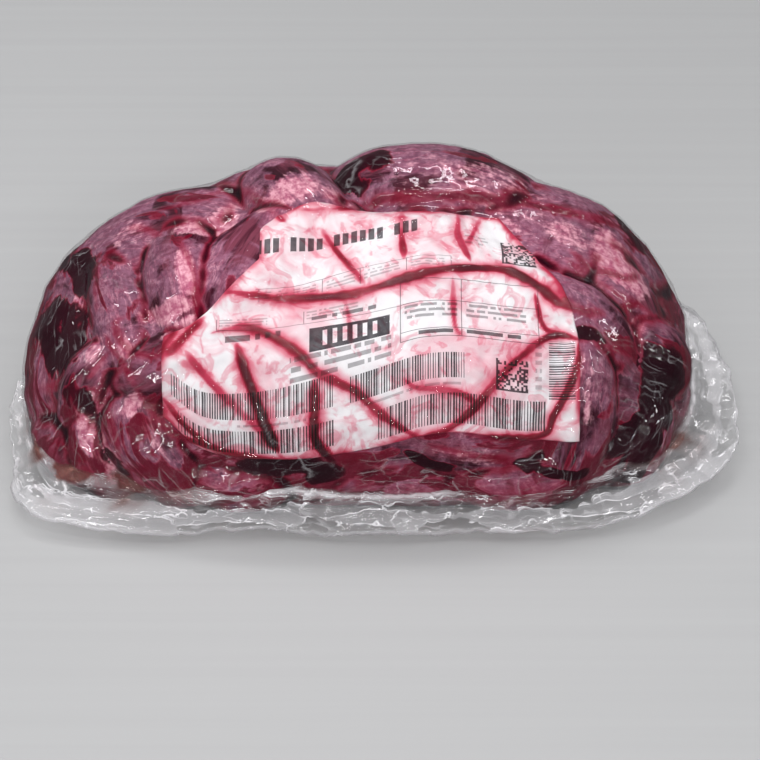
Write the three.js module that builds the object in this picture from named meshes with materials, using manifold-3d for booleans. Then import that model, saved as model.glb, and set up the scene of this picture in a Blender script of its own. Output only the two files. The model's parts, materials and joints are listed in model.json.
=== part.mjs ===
// A raw beef skirt steak, folded over and sealed in a clear bag: the film is drawn tight on the folds of
// muscle, a paper label lies just under it on the front, and the bag's sealed rim stands out low down all
// round. Millimetres: +X right, +Y away from the label, +Z up. The pack rests on its flat underside at Z = 0.

import * as THREE from 'three';
import { mergeVertices } from 'three/addons/utils/BufferGeometryUtils.js';
import Module from 'manifold-3d';

// The loaf that the folded meat makes, measured from a middle point on the seam's level.
const HALF_WIDTH = 110.5;
const FRONT_DEPTH = 66;
const BACK_DEPTH = 57;
const RISE_UP = 59.5;
const SAG_DOWN = 22;
const SEAM_HEIGHT = 14;
const FRONT_SQUARE = 3.4;
const BACK_SQUARE = 2;

// How softly the film bridges the valley between two folds, and how full each fold's cross-section is. No valley
// is lower than the floor, and low ground is lifted, the most of it near the lifted height.
const FILM_BRIDGE = 5;
const FOLD_FULLNESS = 0.5;
const VALLEY_FLOOR = 5.5;
const VALLEY_LIFT = 2.4;
const VALLEY_LIFTED = 4;

// The sealed rim: the bag's own outline on the table, wider than the meat, and its level.
const RIM_LEFT = 121;
const RIM_RIGHT = 134;
const RIM_FRONT = 85;
const RIM_BACK = 74;
const RIM_SQUARE_LEFT = 8;
const RIM_SQUARE_RIGHT = 3.5;
const RIM_SQUARE_BACK = 2.6;
const RIM_ROOT = 3;
const RIM_TOP = 15;
const RIM_TOP_SWING = 2;
const RIM_LIP = 4;
const RIM_LIP_EARS = 4;
const RIM_THICK = 1.6;
const RIM_STATIONS = [0, 0.55, 0.8, 1];
const RIM_STEPS = 104;

// The label: a sheet 139 mm wide and about 97 mm along the curve. The share of its height where each upper
// corner starts to be tucked under the folds, how much of the height that takes, and how round it is. A last
// cut takes off the tip at the top left. The low edge waves: by how many degrees, where, and how widely.
const LABEL_LEFT = -65;
const LABEL_RIGHT = 74;
const LABEL_TOP_LEFT = -33;
const LABEL_TOP_RIGHT = 48;
const LABEL_LOW_ARC = 14;
const LABEL_HIGH_ARC = 82;
const LABEL_TUCK_LEFT = { from: 0.34, over: 0.38, round: 1 };
const LABEL_TUCK_RIGHT = { from: 0.36, over: 0.64, round: 1.7 };
const LABEL_TIP = { from: 0.84, over: 0.16, round: 1.5, cut: 16 };
const LABEL_WAVES = [
  { high: 4.5, x: 30, wide: 22 },
  { high: -3.2, x: -35, wide: 32 },
  { high: 8, x: -67, wide: 10 },
];
const LABEL_THICK = 0.9;
const LABEL_GAP = 0.3;
const LABEL_STEPS_X = 26;
const LABEL_STEPS_ARC = 18;

// The pack's box is centred on the origin by this shift.
const SHIFT_X = -6.17;
const SHIFT_Y = 5.81;

// Squares that the loaf's surface is divided into along X, Y and Z.
const GRID_X = 40;
const GRID_Y = 24;
const GRID_Z = 12;

// Each fold of muscle: where it lies (bearing from the front, rise above the seam, degrees), its half length
// and half width, how far its length is turned from the level, and how far it stands proud of the loaf.
const FOLDS = [
  { name: 'left outer', bearing: -91, rise: 15, long: 60, wide: 22, turn: 64, proud: 11 },
  { name: 'left shoulder', bearing: -96, rise: 30, long: 36, wide: 26, turn: -10, proud: 14 },
  { name: 'left band', bearing: -76, rise: 25, long: 36, wide: 12, turn: 98, proud: 11.5 },
  { name: 'left inner', bearing: -67, rise: 38, long: 27, wide: 15, turn: 96, proud: 14.5 },
  { name: 'left ribbed', bearing: -54, rise: 51, long: 34, wide: 18, turn: 66, proud: 15.5 },
  { name: 'left small', bearing: -55, rise: 23, long: 19, wide: 10, turn: 12, proud: 12.5 },
  { name: 'left low', bearing: -64, rise: 12, long: 20, wide: 9, turn: 66, proud: 11.5 },
  { name: 'left bulb', bearing: -49, rise: 6, long: 25, wide: 15, turn: -62, proud: 13.5 },
  { name: 'left tendon', bearing: -58, rise: 0, long: 25, wide: 8, turn: -74, proud: 12 },
  { name: 'left corner', bearing: -66, rise: -3, long: 20, wide: 13, turn: 84, proud: 13 },
  { name: 'top plate', bearing: -130, rise: 47, long: 34, wide: 17, turn: 26, proud: 12 },
  { name: 'top patch', bearing: -106, rise: 66, long: 30, wide: 17, turn: -54, proud: 17.5 },
  { name: 'top middle', bearing: -56, rise: 78, long: 20, wide: 13, turn: -26, proud: 10.5 },
  { name: 'right crest', bearing: 116, rise: 59, long: 40, wide: 22, turn: -6, proud: 21.5 },
  { name: 'right shoulder', bearing: 96, rise: 33, long: 48, wide: 28, turn: 2, proud: 17 },
  { name: 'crest foot', bearing: 62, rise: 70, long: 38, wide: 8, turn: 0, proud: 10.5 },
  { name: 'right fat', bearing: 84, rise: 25, long: 30, wide: 17, turn: -42, proud: 13 },
  { name: 'right strip', bearing: 66, rise: 27, long: 26, wide: 12, turn: -26, proud: 12.5 },
  { name: 'right knob', bearing: 73, rise: 12, long: 18, wide: 12, turn: -18, proud: 13 },
  { name: 'right outer', bearing: 95, rise: 9, long: 40, wide: 20, turn: -84, proud: 8.5 },
  { name: 'right upright', bearing: 53, rise: 13, long: 32, wide: 11, turn: 82, proud: 13.5 },
  { name: 'right low', bearing: 40, rise: 2, long: 36, wide: 10, turn: 3, proud: 12 },
  { name: 'right corner', bearing: 62, rise: 0, long: 18, wide: 11, turn: 40, proud: 10.5 },
  { name: 'middle upper', bearing: 22, rise: 60, long: 60, wide: 23, turn: 0, proud: 12.5 },
  { name: 'middle lower', bearing: 4, rise: 30, long: 76, wide: 37, turn: 0, proud: 14.5 },
  { name: 'front left', bearing: -32, rise: 2, long: 26, wide: 11, turn: 4, proud: 12 },
  { name: 'front right', bearing: 10, rise: 3, long: 30, wide: 10, turn: 2, proud: 11.5 },
  { name: 'back high', bearing: 176, rise: 38, long: 52, wide: 24, turn: 6, proud: 12 },
  { name: 'back left', bearing: -150, rise: 12, long: 44, wide: 21, turn: -20, proud: 12 },
  { name: 'back right', bearing: 146, rise: 12, long: 46, wide: 22, turn: 16, proud: 12 },
  { name: 'back low', bearing: 180, rise: 4, long: 36, wide: 15, turn: 0, proud: 10.5 },
  { name: 'back corner left', bearing: -122, rise: 6, long: 32, wide: 18, turn: 60, proud: 11 },
  { name: 'back corner right', bearing: 120, rise: 16, long: 34, wide: 18, turn: -55, proud: 11 },
];

const MIDDLE = new THREE.Vector3(0, 0, SEAM_HEIGHT);
const radians = THREE.MathUtils.degToRad;

// The unit direction at a bearing (0 is the front, positive to the right) and a rise above the level.
function heading(bearing, rise) {
  const b = radians(bearing);
  const r = radians(rise);
  return new THREE.Vector3(Math.sin(b) * Math.cos(r), -Math.cos(b) * Math.cos(r), Math.sin(r));
}

// The loaf is a superellipse in plan and an ellipse in height; this is its point in a given direction.
function loafPoint(direction) {
  const depth = direction.y < 0 ? FRONT_DEPTH : BACK_DEPTH;
  const square = direction.y < 0 ? FRONT_SQUARE : BACK_SQUARE;
  const tall = direction.z > 0 ? RISE_UP : SAG_DOWN;
  const wideShare = (Math.abs(direction.x) / HALF_WIDTH) ** square;
  const deepShare = (Math.abs(direction.y) / depth) ** square;
  const plan = (wideShare + deepShare) ** (1 / square);
  const radius = 1 / Math.hypot(plan, direction.z / tall);
  return direction.clone().multiplyScalar(radius).add(MIDDLE);
}

// The loaf's outward normal at one of its points: the gradient of the same formula.
function loafNormal(point) {
  const q = point.clone().sub(MIDDLE);
  const depth = q.y < 0 ? FRONT_DEPTH : BACK_DEPTH;
  const square = q.y < 0 ? FRONT_SQUARE : BACK_SQUARE;
  const tall = q.z > 0 ? RISE_UP : SAG_DOWN;
  const wideShare = Math.abs(q.x) / HALF_WIDTH;
  const deepShare = Math.abs(q.y) / depth;
  const total = wideShare ** square + deepShare ** square + 1e-12;
  const factor = total ** (2 / square - 1);
  return new THREE.Vector3(
    (factor * wideShare ** (square - 1) * Math.sign(q.x)) / HALF_WIDTH,
    (factor * deepShare ** (square - 1) * Math.sign(q.y)) / depth,
    q.z / tall ** 2,
  ).normalize();
}

// The larger of two heights, rounded where they meet over a band of the given width.
function smoothMax(a, b, width) {
  const share = Math.max(width - Math.abs(a - b), 0) / width;
  return Math.max(a, b) + (share * share * width) / 4;
}

// Slow waves that bend the folds' outlines, as no muscle is a true ellipse.
function wander(p) {
  return new THREE.Vector3(
    2.2 * Math.sin(p.x / 13 + p.y / 19 + 0.6) + 1.2 * Math.sin(p.z / 7.5 - p.x / 17),
    2.2 * Math.sin(p.y / 12 - p.z / 15 + 1.9) + 1.2 * Math.sin(p.x / 8.1 + p.z / 11),
    2.0 * Math.sin(p.x / 15 + p.z / 13 + 3.1) + 1.1 * Math.sin(p.y / 7.1 + p.x / 19),
  );
}

// Each fold's place on the loaf, with its length, width and height directions.
const placedFolds = FOLDS.map((fold) => {
  const centre = loafPoint(heading(fold.bearing, fold.rise));
  const normal = loafNormal(centre);
  const level = new THREE.Vector3(1, 0, 0).addScaledVector(normal, -normal.x).normalize();
  const uphill = new THREE.Vector3().crossVectors(normal, level);
  const turn = radians(fold.turn);
  const along = level.clone().multiplyScalar(Math.cos(turn)).addScaledVector(uphill, Math.sin(turn));
  const across = uphill.clone().multiplyScalar(Math.cos(turn)).addScaledVector(level, -Math.sin(turn));
  return { ...fold, centre, normal, along, across };
});

// How far the film stands off the loaf at one of its points: the highest of the folds there, blended, over the
// valley floor, with the low ground lifted.
function foldHeight(point) {
  const bent = point.clone().add(wander(point));
  const highest = placedFolds.reduce((height, fold) => {
    const q = bent.clone().sub(fold.centre);
    const far = Math.hypot(
      q.dot(fold.along) / fold.long,
      q.dot(fold.across) / fold.wide,
      q.dot(fold.normal) / Math.max(fold.long, fold.wide),
    );
    const dome = fold.proud * Math.max(1 - far * far, 0) ** FOLD_FULLNESS;
    return smoothMax(height, dome, FILM_BRIDGE);
  }, VALLEY_FLOOR);
  const share = highest / VALLEY_LIFTED;
  return highest + VALLEY_LIFT * share * Math.exp(1 - share);
}

// The film's surface in a given direction from the middle, sunk or lifted by an offset.
function filmPoint(direction, offset = 0) {
  const point = loafPoint(direction);
  return point.clone().addScaledVector(loafNormal(point), foldHeight(point) + offset);
}

// The body: a box's even grid blown out to the film's surface.
function meatGeometry() {
  const box = new THREE.BoxGeometry(2, 2, 2, GRID_X, GRID_Y, GRID_Z);
  box.deleteAttribute('normal');
  box.deleteAttribute('uv');
  const at = box.attributes.position;
  const even = (share) => Math.tan((share * Math.PI) / 4);
  for (let i = 0; i < at.count; i += 1) {
    const side = new THREE.Vector3(even(at.getX(i)), even(at.getY(i)), even(at.getZ(i)));
    const spread = side.multiply(new THREE.Vector3(HALF_WIDTH, FRONT_DEPTH, RISE_UP)).normalize();
    const point = filmPoint(spread);
    at.setXYZ(i, point.x, point.y, point.z);
  }
  return mergeVertices(box, 1e-4);
}

// The rim's outline in plan: how far it reaches at a bearing, squarer at the left front corner.
function rimReach(bearing) {
  const side = Math.abs(Math.sin(radians(bearing)));
  const ahead = Math.cos(radians(bearing));
  const right = Math.sin(radians(bearing)) > 0;
  const frontSquare = right ? RIM_SQUARE_RIGHT : RIM_SQUARE_LEFT;
  const square = ahead > 0 ? frontSquare : RIM_SQUARE_BACK;
  const deep = Math.abs(ahead) / (ahead > 0 ? RIM_FRONT : RIM_BACK);
  const wide = side / (right ? RIM_RIGHT : RIM_LEFT);
  return (wide ** square + deep ** square) ** (-1 / square);
}

// A point of the rim's middle sheet: share 0 is its root inside the meat, share 1 its free lip, which hangs
// low at the front and the back and is held up as an ear at each side, rippled all round.
function rimPoint(bearing, share) {
  const b = radians(bearing);
  const root = loafPoint(heading(bearing, 0));
  const inner = Math.hypot(root.x, root.y) - RIM_ROOT;
  const reach = rimReach(bearing) + share * Math.sin(9 * b + 2);
  const out = inner + (reach - inner) * share;
  const top = RIM_TOP + RIM_TOP_SWING * Math.cos(b);
  const lip = RIM_LIP + RIM_LIP_EARS * Math.sin(b) ** 4 + 0.8 * Math.sin(13 * b + 0.8);
  const drop = Math.max(share, 0) ** (3 + Math.cos(b));
  return new THREE.Vector3(Math.sin(b) * out, -Math.cos(b) * out, top + (lip - top) * drop);
}

// The rim: its sheet given thickness across its slope, as a ring of closed sections.
function rimGeometry() {
  const loop = [...RIM_STATIONS.map((share) => [share, 1]), ...RIM_STATIONS.toReversed().map((share) => [share, -1])];
  const places = [];
  const faces = [];
  for (let i = 0; i < RIM_STEPS; i += 1) {
    const bearing = (360 * i) / RIM_STEPS;
    const outward = heading(bearing, 0);
    loop.forEach(([share, face], j) => {
      const slope = rimPoint(bearing, share + 0.01).sub(rimPoint(bearing, share - 0.01));
      const run = slope.dot(outward);
      const across = outward.clone().multiplyScalar(-slope.z).add(new THREE.Vector3(0, 0, run)).normalize();
      const point = rimPoint(bearing, share).addScaledVector(across, (face * RIM_THICK) / 2);
      places.push(point.x, point.y, point.z);
      const a = i * loop.length + j;
      const b = i * loop.length + ((j + 1) % loop.length);
      const next = ((i + 1) % RIM_STEPS) * loop.length;
      const c = next + j;
      const d = next + ((j + 1) % loop.length);
      faces.push(a, b, d, a, d, c);
    });
  }
  const ring = new THREE.BufferGeometry();
  ring.setAttribute('position', new THREE.Float32BufferAttribute(places, 3));
  ring.setIndex(faces);
  return ring;
}

// How much of a tuck is done at a share of the label's height: none below it, all of it above.
function tucked(tuck, share) {
  return THREE.MathUtils.clamp((share - tuck.from) / tuck.over, 0, 1) ** tuck.round;
}

// The label's left and right edges at a share of its height.
function labelLeft(share) {
  const under = (LABEL_TOP_LEFT - LABEL_LEFT) * tucked(LABEL_TUCK_LEFT, share);
  return LABEL_LEFT + under + LABEL_TIP.cut * tucked(LABEL_TIP, share);
}

function labelRight(share) {
  return LABEL_RIGHT + (LABEL_TOP_RIGHT - LABEL_RIGHT) * tucked(LABEL_TUCK_RIGHT, share);
}

// The degrees of arc at x on the label's low edge: a level line with bell-shaped waves.
function labelLowArc(x) {
  return LABEL_WAVES.reduce(
    (arc, wave) => arc + wave.high * Math.exp(-(((x - wave.x) / wave.wide) ** 2)),
    LABEL_LOW_ARC,
  );
}

// A point over the label: x along it and a share of the arc up it, offset from the film's surface. The
// direction is corrected a few times until the film's point there has that x.
function labelPoint(x, share, offset) {
  const lowArc = labelLowArc(x);
  const arc = radians(lowArc + (LABEL_HIGH_ARC - lowArc) * share);
  const out = FRONT_DEPTH + FILM_BRIDGE;
  let aim = x;
  let point = null;
  for (let round = 0; round < 4; round += 1) {
    const direction = new THREE.Vector3(aim, -out * Math.cos(arc), out * Math.sin(arc)).normalize();
    point = filmPoint(direction, offset);
    aim += x - point.x;
  }
  return point;
}

// A curved slab over the label's outline, between two offsets from the film's surface.
function labelSlab(outer, inner, margin) {
  const places = [];
  const faces = [];
  const columns = LABEL_STEPS_X + 1;
  const layer = columns * (LABEL_STEPS_ARC + 1);
  const marginShare = margin / (FRONT_DEPTH * radians(LABEL_HIGH_ARC - LABEL_LOW_ARC));
  [outer, inner].forEach((offset) => {
    for (let j = 0; j <= LABEL_STEPS_ARC; j += 1) {
      const share = j / LABEL_STEPS_ARC;
      const left = labelLeft(share) - margin;
      const right = labelRight(share) + margin;
      for (let i = 0; i <= LABEL_STEPS_X; i += 1) {
        const x = left + ((right - left) * i) / LABEL_STEPS_X;
        const point = labelPoint(x, -marginShare + (1 + 2 * marginShare) * share, offset);
        places.push(point.x, point.y, point.z);
      }
    }
  });
  const quad = (a, b, c, d) => faces.push(a, b, c, a, c, d);
  for (let j = 0; j < LABEL_STEPS_ARC; j += 1) {
    for (let i = 0; i < LABEL_STEPS_X; i += 1) {
      const a = j * columns + i;
      quad(a, a + 1, a + 1 + columns, a + columns);
      quad(layer + a, layer + a + columns, layer + a + 1 + columns, layer + a + 1);
    }
  }
  for (let i = 0; i < LABEL_STEPS_X; i += 1) {
    const top = LABEL_STEPS_ARC * columns + i;
    quad(i, layer + i, layer + i + 1, i + 1);
    quad(top, top + 1, layer + top + 1, layer + top);
  }
  for (let j = 0; j < LABEL_STEPS_ARC; j += 1) {
    const left = j * columns;
    const right = left + LABEL_STEPS_X;
    quad(left, left + columns, layer + left + columns, layer + left);
    quad(right, layer + right, layer + right + columns, right + columns);
  }
  const slab = new THREE.BufferGeometry();
  slab.setAttribute('position', new THREE.Float32BufferAttribute(places, 3));
  slab.setIndex(faces);
  return slab;
}

const wasm = await Module();
wasm.setup();

function toSolid(geometry) {
  return new wasm.Manifold(
    new wasm.Mesh({
      numProp: 3,
      vertProperties: new Float32Array(geometry.attributes.position.array),
      triVerts: new Uint32Array(geometry.index.array),
    }),
  );
}

function toGeometry(solid) {
  const mesh = solid.getMesh();
  const geometry = new THREE.BufferGeometry();
  geometry.setAttribute('position', new THREE.BufferAttribute(mesh.vertProperties, 3));
  geometry.setIndex(new THREE.BufferAttribute(mesh.triVerts, 1));
  return geometry;
}

// A block that takes away everything below the table.
function belowTable() {
  const deep = 60;
  const block = new THREE.BoxGeometry(4 * RIM_RIGHT, 4 * RIM_RIGHT, deep);
  block.deleteAttribute('normal');
  block.deleteAttribute('uv');
  block.translate(0, 0, -deep / 2);
  return toSolid(mergeVertices(block));
}

function bagGeometry() {
  const pocket = toSolid(labelSlab(3, -LABEL_THICK - LABEL_GAP, LABEL_GAP));
  const pack = toSolid(meatGeometry()).add(toSolid(rimGeometry())).subtract(belowTable()).subtract(pocket);
  return toGeometry(pack);
}

function namedMesh(name, geometry, look) {
  const mesh = new THREE.Mesh(geometry, new THREE.MeshStandardMaterial(look));
  mesh.name = name;
  mesh.position.set(SHIFT_X, SHIFT_Y, 0);
  return mesh;
}

const part = new THREE.Group();
part.add(namedMesh('sealed_bag', bagGeometry(), { color: 0x7c2a3c, roughness: 0.18, metalness: 0 }));
part.add(namedMesh('label', labelSlab(0, -LABEL_THICK, 0), { color: 0xf0ece9, roughness: 0.45, metalness: 0 }));

export default part;
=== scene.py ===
"""Raw beef skirt, folded over and sealed in a clear bag: dark folds of muscle with pale fat, a paper label
and creases of film that hold blood, and the bag's crumpled rim. Shapes are worked out in millimetres, as
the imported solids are, and put into the scene in metres."""

import json
import math

import bpy
import numpy as np
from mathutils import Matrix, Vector

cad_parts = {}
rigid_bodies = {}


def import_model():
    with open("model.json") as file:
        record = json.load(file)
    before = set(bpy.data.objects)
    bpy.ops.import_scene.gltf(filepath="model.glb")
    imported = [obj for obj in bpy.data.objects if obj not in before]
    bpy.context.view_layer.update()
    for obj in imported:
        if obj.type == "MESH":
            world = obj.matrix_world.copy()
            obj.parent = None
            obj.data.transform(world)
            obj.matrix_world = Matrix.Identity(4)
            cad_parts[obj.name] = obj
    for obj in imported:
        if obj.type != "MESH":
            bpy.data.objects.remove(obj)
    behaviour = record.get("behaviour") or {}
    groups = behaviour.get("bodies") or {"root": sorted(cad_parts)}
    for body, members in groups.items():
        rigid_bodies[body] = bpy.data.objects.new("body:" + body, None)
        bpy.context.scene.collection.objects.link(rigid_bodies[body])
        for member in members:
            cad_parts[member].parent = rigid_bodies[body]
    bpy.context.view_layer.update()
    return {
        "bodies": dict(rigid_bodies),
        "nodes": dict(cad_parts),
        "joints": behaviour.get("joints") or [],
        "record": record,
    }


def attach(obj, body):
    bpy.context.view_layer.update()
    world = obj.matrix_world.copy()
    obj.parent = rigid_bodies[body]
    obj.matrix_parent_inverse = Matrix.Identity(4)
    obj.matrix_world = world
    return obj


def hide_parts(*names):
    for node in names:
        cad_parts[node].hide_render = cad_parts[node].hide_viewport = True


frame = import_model()

MM = 0.001
SHIFT = np.array([-6.17, 5.81, 0.0])

# The loaf that the folded meat makes, from a middle point on the seam's level.
HALF_WIDTH = 110.5
FRONT_DEPTH = 66.0
BACK_DEPTH = 57.0
RISE_UP = 59.5
SAG_DOWN = 22.0
FRONT_SQUARE = 3.4
BACK_SQUARE = 2.0
MIDDLE = np.array([0.0, 0.0, 14.0])

# The film bridges a valley between folds, the meat under it keeps a sharper one, and blood fills the gap.
# No valley is lower than the floor, and low ground is lifted, most where it is near the lifted height.
FILM_BRIDGE = 5.0
MEAT_BRIDGE = 0.8
MEAT_UNDER = 0.55
VALLEY_FLOOR = 5.5
VALLEY_LIFT = 2.4
VALLEY_LIFTED = 4.0

# The drawn film's own flat facets, and the finer unevenness that it takes from the meat: height and size.
FACET = 0.9
FACET_SIZE = 38.0
SINEW = 0.35
SINEW_SIZE = 14.0

# The sealed rim's outline in plan, its level, and how squarely each part of it turns.
RIM_LEFT = 121.0
RIM_RIGHT = 134.0
RIM_FRONT = 85.0
RIM_BACK = 74.0
RIM_SQUARE_LEFT = 8.0
RIM_SQUARE_RIGHT = 3.5
RIM_SQUARE_BACK = 2.6
RIM_ROOT = 3.0
RIM_TOP = 15.0
RIM_TOP_SWING = 2.0
RIM_LIP = 4.0
RIM_LIP_EARS = 4.0

# The rim's own width and mean radius, by which its crumple and its layout are measured, how far its two
# sheets are apart, how many times longer its folds are than wide, and its steps round and across.
RIM_WIDTH = 28.0
RIM_RADIUS = 110.0
RIM_APART = 0.7
RIM_DRAWN = 8.0
RIM_STEPS = 900
RIM_ACROSS = 28
RIM_SEED = 101

# The label's outline: x along it, and degrees of arc round the loaf's long axis.
LABEL_LEFT = -65.0
LABEL_RIGHT = 74.0
LABEL_TOP_LEFT = -33.0
LABEL_TOP_RIGHT = 48.0
LABEL_LOW_ARC = 14.0
LABEL_HIGH_ARC = 82.0
LABEL_TALL = 97.0

# Where the label's upper corners start to run in, as a share of its height, over how much of it and how
# roundly, then the same for the tip at the top left, and how far that is cut back.
LABEL_TUCK_LEFT = (0.34, 0.38, 1.0)
LABEL_TUCK_RIGHT = (0.36, 0.64, 1.7)
LABEL_TIP = (0.84, 0.16, 1.5)
LABEL_TIP_CUT = 16.0

# The waves of the label's low edge: degrees, the x of the middle, and the width.
LABEL_WAVES = [(4.5, 30, 22), (-3.2, -35, 32), (8, -67, 10)]

# Each fold of muscle: bearing from the front, rise above the seam, half length, half width, turn, height.
FOLDS = {
    "left outer": (-91, 15, 60, 22, 64, 11),
    "left shoulder": (-96, 30, 36, 26, -10, 14),
    "left band": (-76, 25, 36, 12, 98, 11.5),
    "left inner": (-67, 38, 27, 15, 96, 14.5),
    "left ribbed": (-54, 51, 34, 18, 66, 15.5),
    "left small": (-55, 23, 19, 10, 12, 12.5),
    "left low": (-64, 12, 20, 9, 66, 11.5),
    "left bulb": (-49, 6, 25, 15, -62, 13.5),
    "left tendon": (-58, 0, 25, 8, -74, 12),
    "left corner": (-66, -3, 20, 13, 84, 13),
    "top plate": (-130, 47, 34, 17, 26, 12),
    "top patch": (-106, 66, 30, 17, -54, 17.5),
    "top middle": (-56, 78, 20, 13, -26, 10.5),
    "right crest": (116, 59, 40, 22, -6, 21.5),
    "right shoulder": (96, 33, 48, 28, 2, 17),
    "crest foot": (62, 70, 38, 8, 0, 10.5),
    "right fat": (84, 25, 30, 17, -42, 13),
    "right strip": (66, 27, 26, 12, -26, 12.5),
    "right knob": (73, 12, 18, 12, -18, 13),
    "right outer": (95, 9, 40, 20, -84, 8.5),
    "right upright": (53, 13, 32, 11, 82, 13.5),
    "right low": (40, 2, 36, 10, 3, 12),
    "right corner": (62, 0, 18, 11, 40, 10.5),
    "middle upper": (22, 60, 60, 23, 0, 12.5),
    "middle lower": (4, 30, 76, 37, 0, 14.5),
    "front left": (-32, 2, 26, 11, 4, 12),
    "front right": (10, 3, 30, 10, 2, 11.5),
    "back high": (176, 38, 52, 24, 6, 12),
    "back left": (-150, 12, 44, 21, -20, 12),
    "back right": (146, 12, 46, 22, 16, 12),
    "back low": (180, 4, 36, 15, 0, 10.5),
    "back corner left": (-122, 6, 32, 18, 60, 11),
    "back corner right": (120, 16, 34, 18, -55, 11),
}

# Creases of film that hold blood: height, half width, then the bearing and rise of each point on the way.
CREASES = {
    "arch": (1.6, 2.5, -48.5, 41, -39.5, 44.5, -26.5, 48.5, -7, 52, 9, 54, 30, 54, 46.5, 50.5, 56.5, 45,
        60, 40.5, 61, 35.5, 61, 30.5, 63.5, 25.5),
    "top diagonal": (0.9, 1.9, -36.5, 70.5, -9.5, 62.5, 4.5, 55),
    "notch left": (0.8, 2, 55.5, 73.5, 38.5, 68, 29, 60),
    "notch middle": (0.7, 1.8, 76.5, 60, 60, 56, 53.5, 49.5),
    "notch right": (0.6, 1.6, 78, 54, 58, 53),
    "lobe": (1.4, 2, -46, 32.5, -38, 37, -29, 37, -20, 35, -14, 32, -4.5, 29.5, 0, 28, 7.5, 22.5, 17.5,
        16.5),
    "vee": (1.4, 2, 17.5, 16.5, 25.5, 17.5, 33.5, 21, 42, 25.5, 51.5, 27.5, 56.5, 26.5, 58.5, 24),
    "right loop": (1.3, 2.1, 58, 23.5, 55.5, 21, 51.5, 18, 47.5, 14.5, 45, 11.5, 37, 13, 26, 17),
    "left diagonal": (0.7, 2.2, -49.5, 27, -43.5, 24.5, -35.5, 21, -28, 17, -23, 14),
    "left tube": (2.2, 2.8, -39, 32.5, -33, 26.5, -28.5, 21, -25, 16, -22.5, 12.5),
    "middle tube": (2, 2.5, -14.5, 30, -13.5, 24.5, -13, 17.5, -9.5, 12.5, -4, 7.5),
    "thread left": (0.4, 1.1, -6.5, 52, -3.5, 44.5, -2.5, 39.5),
    "thread right": (0.5, 1.4, 44, 49.5, 35.5, 39, 36, 36),
    "table side": (0.7, 1.6, 60, 36, 55, 29.5, 56.5, 26.5),
    "lash": (0.9, 1.6, 14, 31.5, 18.5, 28, 24.5, 26.5, 31, 24, 33.5, 21),
    "label foot": (1, 1.9, -49, 17.5, -42, 13, -36, 10.5, -25.5, 9.5, -16.5, 10.5),
    "pink loop": (0.35, 2, -49, 24.5, -45.5, 25, -40.5, 24.5),
    "shoulder line": (1, 2.4, -93, 34.5, -95, 39.5, -98, 45, -104.5, 49, -102, 55, -85, 61, -61.5, 62),
    "shoulder low": (0.8, 2, -90.5, 30.5, -87.5, 34, -81, 37.5),
    "oval edge": (0.8, 2, -76.5, 40, -69, 40.5, -60.5, 39.5, -55, 36.5, -52.5, 34),
    "left seam": (0.6, 1.8, -83, 25, -77.5, 24, -72, 23, -69.5, 22),
    "slit": (0.8, 1.8, -77, 20.5, -74, 17.5, -72, 16),
    "lobe ring": (0.9, 2, -64, 26, -64.5, 23.5, -61, 22, -57, 22, -53, 23.5, -53, 27, -54, 30),
    "label gutter": (1.2, 2.4, -50, 34, -51, 28.5, -51.5, 24),
    "pull a": (0.8, 1.6, -65, 21, -60.5, 20, -55.5, 18.5, -52, 16.5),
    "pull b": (0.6, 1.5, -62, 19.5, -61.5, 14.5),
    "pull c": (0.7, 1.5, -61, 13, -57.5, 14.5, -52, 16.5),
    "long ridge": (1.4, 2.6, -63.5, 67, -32.5, 79.5, 85.5, 84.5, 80.5, 76, 86.5, 62.5, 90, 48, 90, 37.5,
        92, 29.5, 94, 24.5, 94.5, 19.5),
    "crest root": (1, 2.5, -175, 78.5, 169.5, 76.5, 146.5, 72.5),
    "valley streak": (0.9, 2.2, -64.5, 77.5, -60, 87),
    "patch edge": (0.9, 2, -92, 58.5, -64, 63, -56, 63.5),
    "fat gap": (1.2, 2.4, 77.5, 34, 76.5, 29.5, 77.5, 26.5, 79, 23, 84.5, 20.5),
    "strip edge": (0.8, 1.8, 75, 34, 74.5, 28, 73.5, 23.5, 75.5, 20.5),
    "knob under": (1.3, 2.4, 61.5, 25, 61.5, 23, 61.5, 20.5, 65, 17.5, 68, 13, 71.5, 8.5),
    "knob over": (0.8, 1.8, 69, 23, 74, 21, 75, 18.5, 76.5, 14, 88, 6),
    "gutter right": (1, 2.2, 62, 31.5, 63, 27, 66.5, 24),
    "pool ridge": (1.8, 3, 72, 7, 65.5, 6.5, 60.5, 5, 55.5, 2),
    "low band": (1, 2.4, 20, 14.5, 34, 9, 42, 5.5, 52.5, 2.5),
    "bulb edge": (1.1, 2.2, -53.5, 17, -49.5, 14.5, -45, 11.5, -38, 10.5, -31, 8, -25, 6),
    "tendon edge": (1, 2.2, -61, 12.5, -58.5, 12, -54.5, 9.5, -52.5, 5.5, -53.5, -1),
    "tendon inner": (0.8, 1.8, -61, 10.5, -58, 8.5, -54.5, 6, -54, 1),
    "front seam": (0.8, 2, -53.5, -4, -42, 2, -33, 3.5, -25, 5.5),
    "pool streak a": (0.8, 1.8, -22.5, 12, -17, 5.5, -13.5, 2),
    "pool streak b": (0.8, 1.8, -10.5, 16, -5.5, 9, -2, 4.5),
}

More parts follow.
